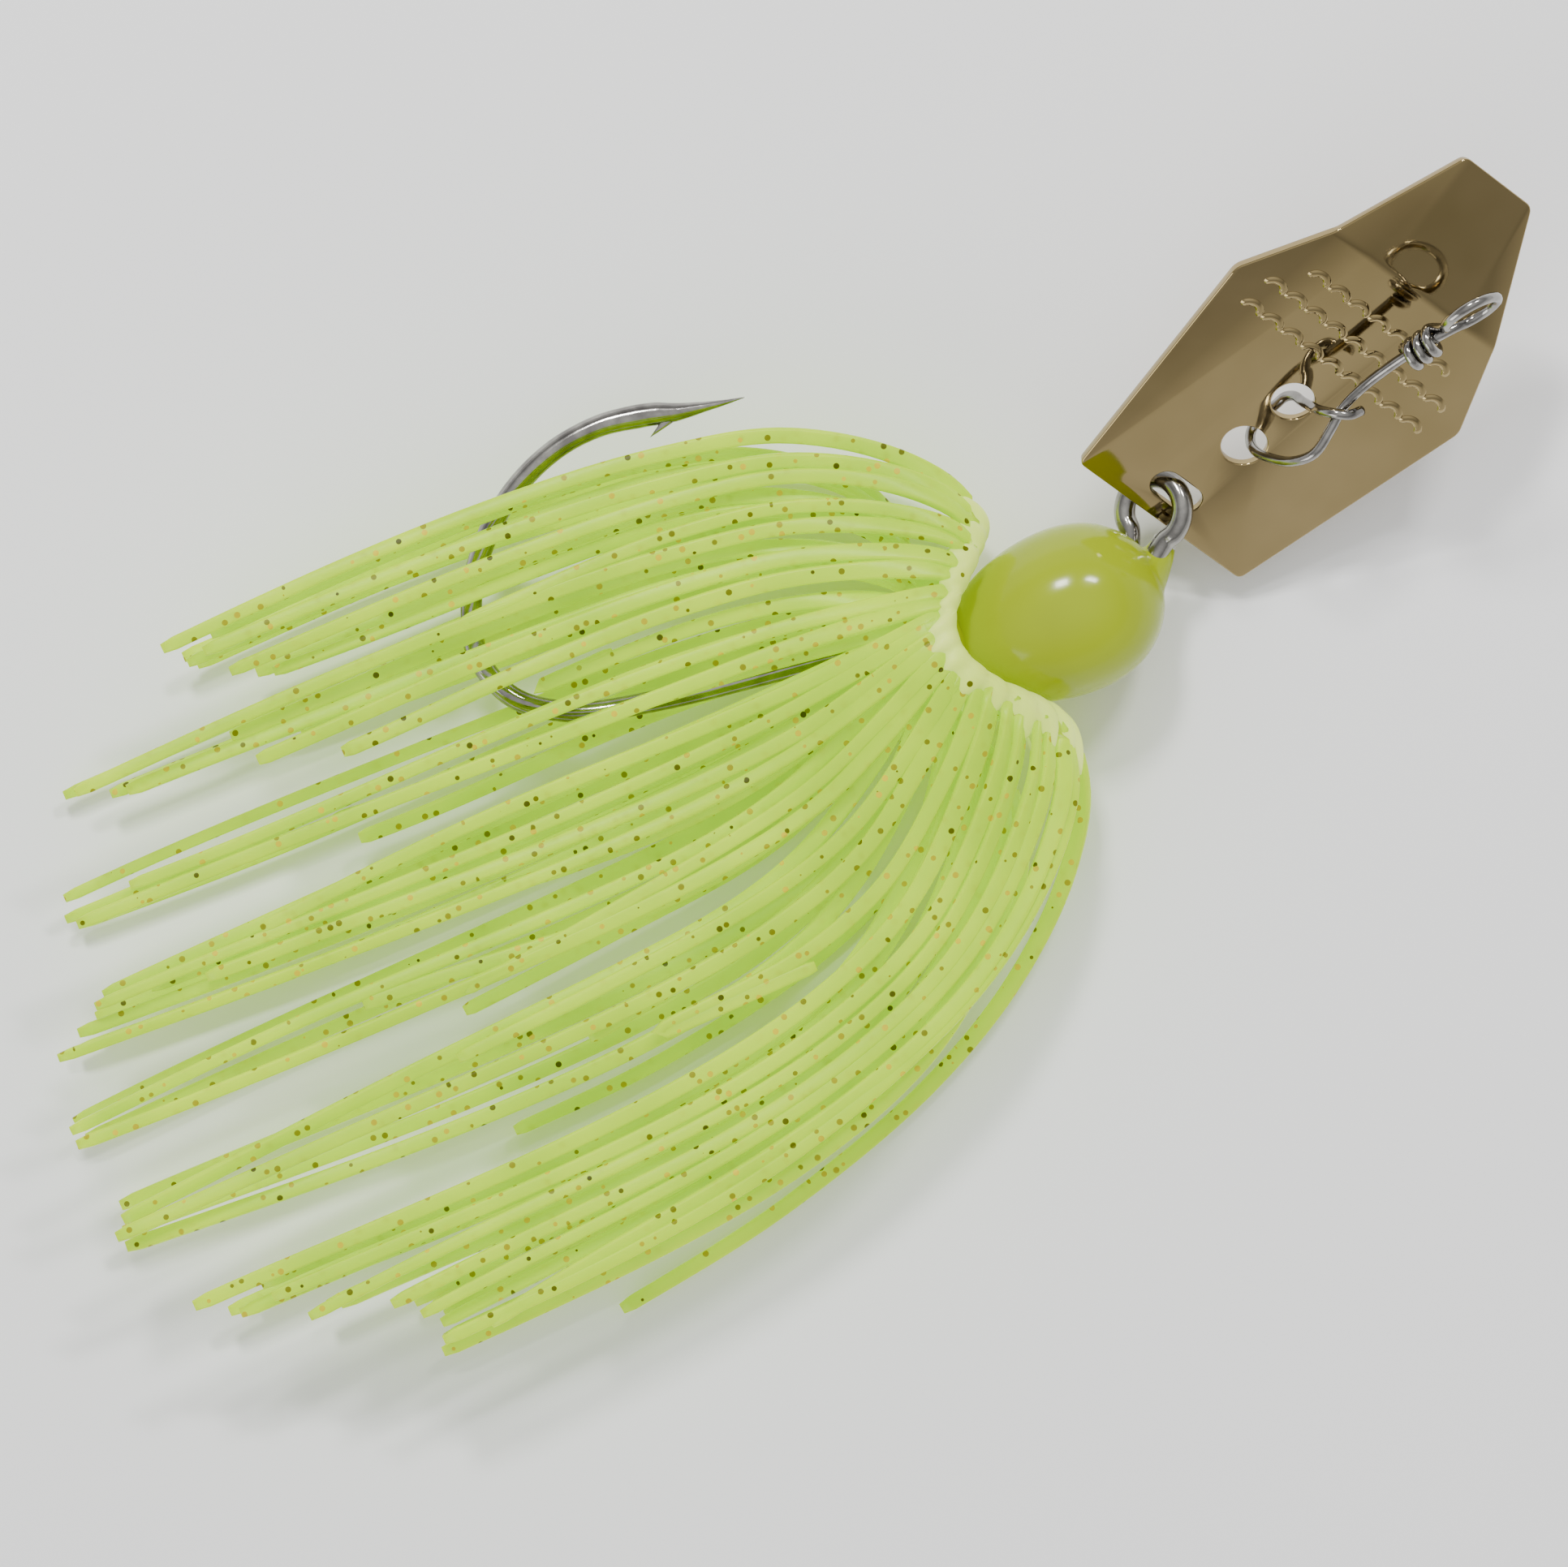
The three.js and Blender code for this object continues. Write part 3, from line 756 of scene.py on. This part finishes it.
def snap_points():
    """The snap's middle line: the latch, the arm, the eye and the wraps about the arm."""
    points = [Vector(point) for point in SNAP_LATCH + SNAP_ARM] + [SNAP_NECK]
    along = (SNAP_EYE - SNAP_NECK).normalized()
    side = Vector((0, math.cos(SNAP_TWIST), math.sin(SNAP_TWIST)))
    across = (side - along * side.dot(along)).normalized()
    normal = along.cross(across)
    for i in range(SNAP_EYE_STEPS + 1):
        angle = math.pi + mix(SNAP_EYE_OPEN, 2 * math.pi - SNAP_EYE_OPEN, i / SNAP_EYE_STEPS)
        points.append(SNAP_EYE + (along * math.cos(angle) + across * math.sin(angle)) * SNAP_EYE_RADIUS)
    for i in range(WRAPS * WRAP_STEPS + 1):
        turns = i / WRAP_STEPS
        angle = WRAP_START + 2 * math.pi * turns
        back = WRAP_GAP + WRAP_PITCH * turns
        around = across * math.cos(angle) + normal * math.sin(angle)
        points.append(SNAP_NECK - along * back + around * WRAP_RADIUS)
    return points


def build_snap():
    path = [(SNAP_FRAME @ point) * MM for point in catmull(snap_points(), SNAP_SAMPLES)]
    ring = circle(SNAP_RADIUS * MM, SNAP_RADIUS * MM, SNAP_SIDES)
    bm = bmesh.new()
    sweep(bm, path, UP, lambda i: ring)
    return add_object("snap_wire", bm, snap_metal)


snap = build_snap()
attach(snap, "snap")
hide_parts("line_snap")

# ---- skirt's collar ----------------------------------------------------------------------------

COLLAR_PROFILE = [(-10.5, 3.1), (-10.7, 3.6), (-10.4, 4.1), (-9.6, 4.4), (-9.0, 5.0), (-8.2, 5.3),
                  (-7.6, 5.0), (-7.4, 4.2), (-7.5, 3.1)]
COLLAR_SAMPLES = 5
COLLAR_SIDES = 96


def build_collar():
    curve = catmull([Vector((x, radius, 0)) for x, radius in COLLAR_PROFILE], COLLAR_SAMPLES)
    bm = bmesh.new()
    closed_loft(bm, [ring_about_x(point.x, point.y, COLLAR_SIDES, NECK_Y) for point in curve])
    return add_object("collar_ring", bm, collar_silicone)


collar = build_collar()
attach(collar, "jig")
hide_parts("skirt_collar")

# ---- skirt's strands ---------------------------------------------------------------------------

# Each lock is a bunch of strands: how many, and where its first and last end in x and in y.
LOCKS = [
    (4, (-57.7, -57), (22, 19.5)),
    (3, (-54.2, -50.7), (18.6, 17.2)),
    (4, (-67.8, -64.3), (15.6, 12.8)),
    (2, (-52.3, -49.6), (12.2, 10.8)),
    (4, (-71.2, -69.8), (8.4, 5.4)),
    (1, (-50.4, -50.4), (4.4, 4.4)),
    (7, (-71, -74.5), (2.2, -3.2)),
    (4, (-76, -77), (-4.8, -8.2)),
    (1, (-49.3, -49.3), (-9, -9)),
    (5, (-75.9, -75.6), (-11.4, -16.6)),
    (1, (-48.7, -48.7), (-18, -18)),
    (4, (-73.7, -70), (-20.6, -23.4)),
    (3, (-66, -63.4), (-24.2, -25.4)),
    (8, (-59.4, -58.2), (-26.2, -31)),
    (1, (-46.1, -46.1), (-32.7, -32.7)),
]
STRAND_COUNT = sum(count for count, _, _ in LOCKS)
END_UNEVENNESS = 0.7
END_WAVES = 7
ROOT_MARGIN = math.radians(5)

# A strand's stations from the collar to its end. Settle is how far it has come down to rest, spread
# how far it has gone sideways to its end, reach its distance from the neck's axis, x its place along.
SETTLE = [0, 0.05, 0.2, 0.5, 0.8, 0.95, 1, 1]
SPREAD_MIDDLE = [0, 0.02, 0.1, 0.37, 0.7, 0.88, 0.98, 1]
SPREAD_HOOK_SIDE = [0, 0.11, 0.27, 0.54, 0.79, 0.91, 0.98, 1]
SPREAD_FAR_SIDE = [0, 0.11, 0.27, 0.46, 0.65, 0.79, 0.91, 1]
OUTER_PATH = {
    "reach": [5.0, 7.4, 8.6, 8.6, 8, 7, 6, 6],
    "x_middle": [-8.4, -8.4, -9.8, -14, -20, -27, -38, 0],
    "x_side": [-8.4, -3, -3.2, -6.6, -13, -21, -33, 0],
}
INNER_PATH = {
    "reach": [3.9, 5.6, 6.4, 6.6, 6.4, 6, 5, 5],
    "x_middle": [-9.9, -10.5, -12, -16, -22, -28, -38, 0],
    "x_side": [-9.9, -8.6, -7.8, -9.6, -15, -21, -32, 0],
}
OUTER_TOP = {"side": 1, "rest_z": 10.3, "lowest_z": 0.6, **OUTER_PATH}
INNER_BOTTOM = {"side": -1, "rest_z": 3, "lowest_z": 1.7, **INNER_PATH}
INNER_TOP = {"side": 1, "rest_z": 8.95, "lowest_z": 0.6, **INNER_PATH}
OUTER_BOTTOM = {"side": -1, "rest_z": 1.6, "lowest_z": 0.6, **OUTER_PATH}
LAYERS = [OUTER_TOP, INNER_BOTTOM, INNER_TOP, OUTER_BOTTOM]

STRAND_WIDTH = 1.14
STRAND_THICK = 0.66
STRAND_RINGS = 70
STRAND_SAMPLES = 10
STRAND_SEED = 11
LOWEST_MIDDLE = 0.45  # a ribbon's middle line stays this high above the table
WIDTH_RANGE = (0.86, 1.14)  # times the strand's width
CORNER_SHARE = 0.55  # radius of a ribbon's corners, in half thicknesses
CORNER_STEP = 45
ROOT_WIDEN = 0.25  # extra width where the strands leave the collar
ROOT_FADE = 4  # it is gone after one part in four of the length
TIP_NARROW = 0.2
TIP_SIZE = 0.74  # the very end is this much of the ribbon's section
FIRM_SHARE = 0.12  # the part of the length, from the collar, that doesn't sway
SWAY_RANGE = (0.15, 0.6)
WAVE_RANGE = (4, 7)
PHASE_END = 6.28
ROLL_LIMIT = 0.35
ROLL_STEP = 0.09
FLATTEN_RATE = 3.2  # how soon a ribbon turns from lying round the collar to lying flat
DRIFT = 0.5  # how far a strand may wander sideways, and its partner
PARTNER_DRIFT = 1.4
DRIFT_POWER = 1.5
GATHER = 0.45  # how far a strand's tip moves towards the middle of its lock
GATHER_POWER = 3
PARTNER_STEP = 0.5 / STRAND_COUNT  # a partner leaves the collar half-way to the next strand
WIDE_GAP = 1.0
SHORT_PARTNER = (20, 38)  # how much shorter a partner is in a gap between locks
LONG_PARTNER = (1, 12)  # and inside a lock
LONE_STRANDS = (50, 51)  # the last ones lie apart from the rest


def find_strand_ends():
    """Where each strand ends, in x and y."""
    ends = []
    for count, x, y in LOCKS:
        for i in range(count):
            at = 0.5 if count == 1 else i / (count - 1)
            uneven = END_UNEVENNESS * math.sin(END_WAVES * len(ends))
            ends.append((mix(*x, at) + uneven, mix(*y, at)))
    return ends


def strand_points(end, rank, layer):
    """A strand's stations, and the angle at which it leaves the collar."""
    angle = layer["side"] * mix(ROOT_MARGIN, math.pi - ROOT_MARGIN, rank)
    sideways = abs(math.cos(angle)) ** 2
    spread_side = SPREAD_HOOK_SIDE if math.cos(angle) > 0 else SPREAD_FAR_SIDE
    root_y = NECK_Y + layer["reach"][0] * math.cos(angle)
    points = []
    last = len(SETTLE) - 1
    for k, settle in enumerate(SETTLE):
        x = end[0] if k == last else mix(layer["x_middle"][k], layer["x_side"][k], sideways)
        y = mix(root_y, end[1], mix(SPREAD_MIDDLE[k], spread_side[k], sideways))
        arched = PLANE_Z + layer["reach"][k] * math.sin(angle)
        points.append(Vector((x, y, max(mix(arched, layer["rest_z"], settle), layer["lowest_z"]))))
    return points, angle


def rounded_section(half_width, half_thick):
    """A rectangle with rounded corners, as twelve points."""
    corner = half_thick * CORNER_SHARE
    out = []
    for side_x, side_y, start in ((1, 1, 0), (-1, 1, 90), (-1, -1, 180), (1, -1, 270)):
        for k in range(3):
            angle = math.radians(start + CORNER_STEP * k)
            out.append((side_x * (half_width - corner) + corner * math.cos(angle),
                        side_y * (half_thick - corner) + corner * math.sin(angle)))
    return out


def build_ribbon(bm, points, angle, side_of_head, rng, drift, gather):
    """One ribbon along a strand's path. It sways, drifts sideways and gathers towards its lock's middle."""
    path = resample(catmull([place(*point) for point in points], STRAND_SAMPLES), STRAND_RINGS)
    around = Vector((0, -math.sin(angle), math.cos(angle))) * side_of_head
    phase = rng.uniform(0, PHASE_END)
    roll = rng.uniform(-ROLL_LIMIT, ROLL_LIMIT)
    sway = rng.uniform(*SWAY_RANGE)
    waves = rng.uniform(*WAVE_RANGE)
    width = STRAND_WIDTH * rng.uniform(*WIDTH_RANGE)
    for i in range(STRAND_RINGS + 1):
        at = i / STRAND_RINGS
        loose = max(0.0, at - FIRM_SHARE) / (1 - FIRM_SHARE)
        shift = (sway * loose * math.sin(phase + waves * at) + drift * loose ** DRIFT_POWER
                 + gather * loose ** GATHER_POWER)
        path[i] = path[i] + Vector((0, shift * MM, 0))
        path[i].z = max(path[i].z, LOWEST_MIDDLE * MM)

    def across(i, tangent):
        share = min(1.0, (i / STRAND_RINGS) * FLATTEN_RATE)
        share = share * share * (3 - 2 * share)
        flat = UP.cross(tangent).normalized()
        start = around if around.dot(flat) > 0 else -around
        side = start.lerp(flat, share)
        return Matrix.Rotation(roll * math.sin(phase + i * ROLL_STEP), 3, tangent) @ side

    def section(i):
        at = i / STRAND_RINGS
        wide = width * (1 + ROOT_WIDEN * max(0.0, 1 - ROOT_FADE * at) - TIP_NARROW * at)
        tip = min(1.0, TIP_SIZE + (1 - at) * STRAND_RINGS * (1 - TIP_SIZE))
        return rounded_section(wide / 2 * MM * tip, STRAND_THICK / 2 * MM * tip)

    loft(bm, sweep_rings(path, section, across))


def build_strand(index, name, end, next_end, middle_y, rank, layer, partner_layer, rng):
    """A strand, with a shorter partner that fills the way to the next one."""
    bm = bmesh.new()
    points, angle = strand_points(end, rank, layer)
    gather = GATHER * (middle_y - end[1])
    build_ribbon(bm, points, angle, layer["side"], rng, rng.uniform(-DRIFT, DRIFT), gather)
    gap = abs(end[1] - next_end[1])
    shorter = rng.uniform(*(SHORT_PARTNER if gap > WIDE_GAP else LONG_PARTNER))
    if layer["side"] > 0 and index not in LONE_STRANDS:
        partner_end = (mix(end[0], next_end[0], 0.5) + shorter, mix(end[1], next_end[1], 0.5))
        points, angle = strand_points(partner_end, rank + PARTNER_STEP, partner_layer)
        drift = rng.uniform(-PARTNER_DRIFT, PARTNER_DRIFT)
        build_ribbon(bm, points, angle, partner_layer["side"], rng, drift, gather)
    return add_object(name, bm, strand_silicone)


strand_ends = find_strand_ends()
lock_middles = [sum(y) / 2 for count, _, y in LOCKS for _ in range(count)]
rng = random.Random(STRAND_SEED)
for index, end in enumerate(strand_ends):
    label = f"{index + 1:02d}"
    layer = LAYERS[index % len(LAYERS)]
    partner_layer = LAYERS[(index + 2) % len(LAYERS)]
    next_end = strand_ends[min(index + 1, STRAND_COUNT - 1)]
    rank = index / (STRAND_COUNT - 1)
    name = f"silicone_strand_{label}"
    strand = build_strand(index, name, end, next_end, lock_middles[index], rank, layer, partner_layer, rng)
    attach(strand, "jig")
    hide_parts(f"skirt_strand_{label}")

# ---- skirt's joined root -----------------------------------------------------------------------

WEB_ROWS = 24
WEB_SIDES = 160
WEB_THICK = 0.7
WEB_LIFT = 1.15  # how far it stands off the strands' middle lines
WEB_STATIONS = 1.75  # how far along the strands' stations it reaches
WEB_TAPER = 3
WEB_LOBES = 26
WEB_LOBE_DEPTH = 0.12
WEB_RIPPLES = 31
WEB_RIPPLE_DEPTH = 0.08
WEB_RIPPLE_PHASE = 1
WEB_LOWEST = 0.4


def end_at(rank):
    """Where a strand leaving the collar at this rank ends."""
    at = rank * (STRAND_COUNT - 1)
    k = min(int(at), STRAND_COUNT - 2)
    a, b = strand_ends[k], strand_ends[k + 1]
    return mix(a[0], b[0], at - k), mix(a[1], b[1], at - k)


def web_line(k):
    """The points and outward directions of the skirt's surface along one line from the collar."""
    half = WEB_SIDES // 2
    share = (k % half) / (half - 1)
    rank = share if k < half else 1 - share
    layer = OUTER_TOP if k < half else OUTER_BOTTOM
    points, angle = strand_points(end_at(rank), rank, layer)
    curve = catmull(points, STRAND_SAMPLES)
    around = Vector((0, -math.sin(angle), math.cos(angle)))
    ragged = (1 + WEB_LOBE_DEPTH * math.sin(WEB_LOBES * math.pi * rank)
              + WEB_RIPPLE_DEPTH * math.sin(WEB_RIPPLES * rank + WEB_RIPPLE_PHASE))
    line = []
    for row in range(WEB_ROWS + 1):
        at = WEB_STATIONS * ragged * row / WEB_ROWS * STRAND_SAMPLES
        j = int(at)
        tangent = (curve[j + 1] - curve[j]).normalized()
        line.append((curve[j].lerp(curve[j + 1], at - j), tangent.cross(around).normalized()))
    return line


def build_web():
    """The joined root of the skirt, before the strands part: a flared skin around the collar."""
    lines = [web_line(k) for k in range(WEB_SIDES)]

    def ring(row, sunk):
        lift = WEB_LIFT * (1 - (row / WEB_ROWS) ** WEB_TAPER) - sunk
        points = [line[row][0] + line[row][1] * lift for line in lines]
        return [place(point.x, point.y, max(point.z, WEB_LOWEST)) for point in points]

    outer = [ring(row, 0) for row in range(WEB_ROWS + 1)]
    inner = [ring(row, WEB_THICK) for row in range(WEB_ROWS, -1, -1)]
    bm = bmesh.new()
    closed_loft(bm, outer + inner)
    return add_object("skirt_root", bm, collar_silicone)


web = build_web()
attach(web, "jig")

# ---- floor, lights and camera, in metres -------------------------------------------------------

TABLE_HALF = 1.5
SKY_STOPS = [(0.0, (0.9, 0.9, 0.9)), (0.3, (0.75, 0.75, 0.75)), (0.5, (0.32, 0.32, 0.32)),
             (0.75, (0.55, 0.55, 0.55)), (1.0, (1, 1, 1))]
SKY_STRENGTH = 1.1
# Each light's place to the picture's right, up the picture and above the table, its size and watts
LIGHTS = {
    "key_light": ((-0.12, 0.42, 0.55), (0.1, 0.1), 3.0),
    "second_light": ((0.2, 0.42, 0.55), (0.12, 0.04), 2.0),
    "fill_light": ((-0.45, -0.5, 0.35), (0.5, 0.4), 2.0),
}
VIEW_ROLL = math.radians(-23)
VIEW_CENTRE = place(-22.1, -3.6, PLANE_Z)
VIEW_WIDTH = 108.2 * MM
VIEW_DISTANCE = 0.6
SENSOR = 36.0
CLIP_START = 0.01
CLIP_END = 10


def build_floor():
    bm = bmesh.new()
    bmesh.ops.create_grid(bm, x_segments=2, y_segments=2, size=TABLE_HALF)
    material, nodes, links, shader = new_material("table")
    noise = object_noise(nodes, links, scale=8, detail=2)
    links.new(mottle(nodes, links, noise, TABLE_TONES, SOFT_SPREAD), shader.inputs["Base Color"])
    shader.inputs["Roughness"].default_value = 0.7
    return add_object("table_top", bm, material)


def add_light(name, location, size, power):
    """A rectangular light that faces the middle of the table."""
    data = bpy.data.lights.new(name, "AREA")
    data.shape = "RECTANGLE"
    data.size, data.size_y = size
    data.energy = power
    light = bpy.data.objects.new(name, data)
    light.location = location
    light.rotation_euler = (-location).to_track_quat("-Z", "Y").to_euler()
    bpy.context.scene.collection.objects.link(light)


def add_world():
    """A studio of pale walls that darken towards the horizon."""
    world = bpy.data.worlds.new("studio")
    world.use_nodes = True
    nodes = world.node_tree.nodes
    links = world.node_tree.links
    coords = nodes.new("ShaderNodeTexCoord")
    split = nodes.new("ShaderNodeSeparateXYZ")
    links.new(coords.outputs["Generated"], split.inputs["Vector"])
    links.new(ramp(nodes, links, split.outputs["Z"], SKY_STOPS), nodes["Background"].inputs["Color"])
    nodes["Background"].inputs["Strength"].default_value = SKY_STRENGTH
    bpy.context.scene.world = world


def add_camera():
    """A camera straight above the lure."""
    data = bpy.data.cameras.new("camera")
    data.sensor_width = SENSOR
    data.lens = SENSOR * VIEW_DISTANCE / VIEW_WIDTH
    data.clip_start = CLIP_START
    data.clip_end = CLIP_END
    camera = bpy.data.objects.new("camera", data)
    camera.location = VIEW_CENTRE + UP * VIEW_DISTANCE
    camera.rotation_euler = (0, 0, VIEW_ROLL)
    bpy.context.scene.collection.objects.link(camera)
    bpy.context.scene.camera = camera


build_floor()
picture_up = Matrix.Rotation(VIEW_ROLL, 3, "Z") @ Vector((0, 1, 0))
picture_right = Matrix.Rotation(VIEW_ROLL, 3, "Z") @ Vector((1, 0, 0))
for name, ((right, up, height), size, power) in LIGHTS.items():
    add_light(name, picture_right * right + picture_up * up + UP * height, size, power)
add_world()
add_camera()
